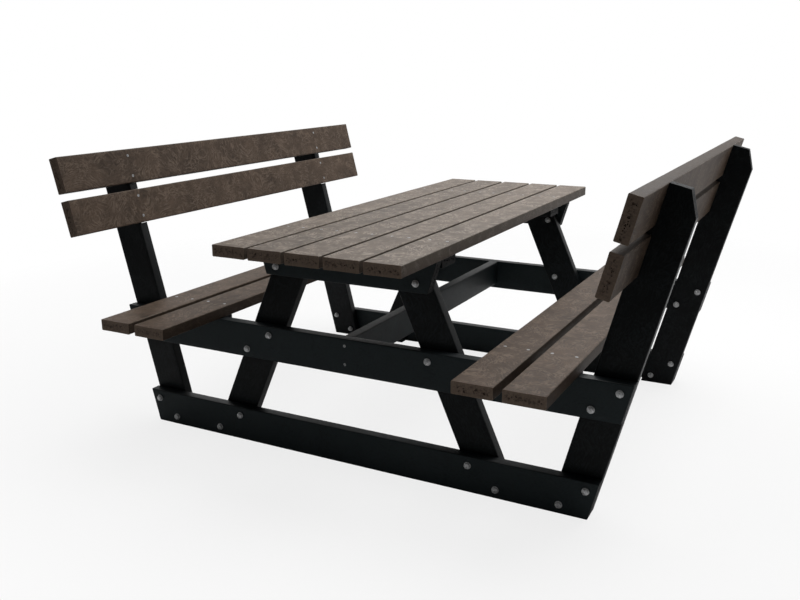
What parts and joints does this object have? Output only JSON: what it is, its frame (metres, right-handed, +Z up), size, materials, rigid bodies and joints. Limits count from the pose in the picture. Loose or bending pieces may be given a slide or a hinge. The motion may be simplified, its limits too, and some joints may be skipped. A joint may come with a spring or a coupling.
{
  "type": "picnic table with backrests",
  "caption": "Free-standing picnic table with two benches and slatted backrests, brown recycled-plastic boards on black slanted end frames.",
  "frame": {"origin": "floor level at the middle of the footprint", "axes": "+Z up; X across the table from one backrest to the other; Y along the boards"},
  "size_m": [2.0634, 1.87, 0.9873],
  "materials": {
    "tabletop": "matte, wood-effect",
    "seating": "matte, wood-effect",
    "frame": "matte",
    "zinc": "bright zinc plated"
  },
  "bodies": {
    "root": {"batten_screws": "zinc", "beam_screws": "zinc", "centre_beam": "frame", "cleat_screws": "zinc", "front_frame_bolts": "zinc", "front_frame_nuts": "zinc", "front_frame_washers": "zinc", "front_ground_rail": "frame", "front_left_back_post": "frame", "front_left_leg": "frame", "front_left_seat_cleat": "frame", "front_right_back_post": "frame", "front_right_leg": "frame", "front_right_seat_cleat": "frame", "front_seat_rail": "frame", "front_top_batten": "frame", "front_top_rail": "frame", "left_back_lower_board": "seating", "left_back_screws": "zinc", "left_back_upper_board": "seating", "left_seat_inner_board": "seating", "left_seat_outer_board": "seating", "left_seat_screws": "zinc", "rear_frame_bolts": "zinc", "rear_frame_nuts": "zinc", "rear_frame_washers": "zinc", "rear_ground_rail": "frame", "rear_left_back_post": "frame", "rear_left_leg": "frame", "rear_left_seat_cleat": "frame", "rear_right_back_post": "frame", "rear_right_leg": "frame", "rear_right_seat_cleat": "frame", "rear_seat_rail": "frame", "rear_top_batten": "frame", "rear_top_rail": "frame", "right_back_lower_board": "seating", "right_back_screws": "zinc", "right_back_upper_board": "seating", "right_seat_inner_board": "seating", "right_seat_outer_board": "seating", "right_seat_screws": "zinc", "tabletop_screws": "zinc", "top_board_1": "tabletop", "top_board_2": "tabletop", "top_board_3": "tabletop", "top_board_4": "tabletop", "top_board_5": "tabletop"}
  },
  "joints": []
}
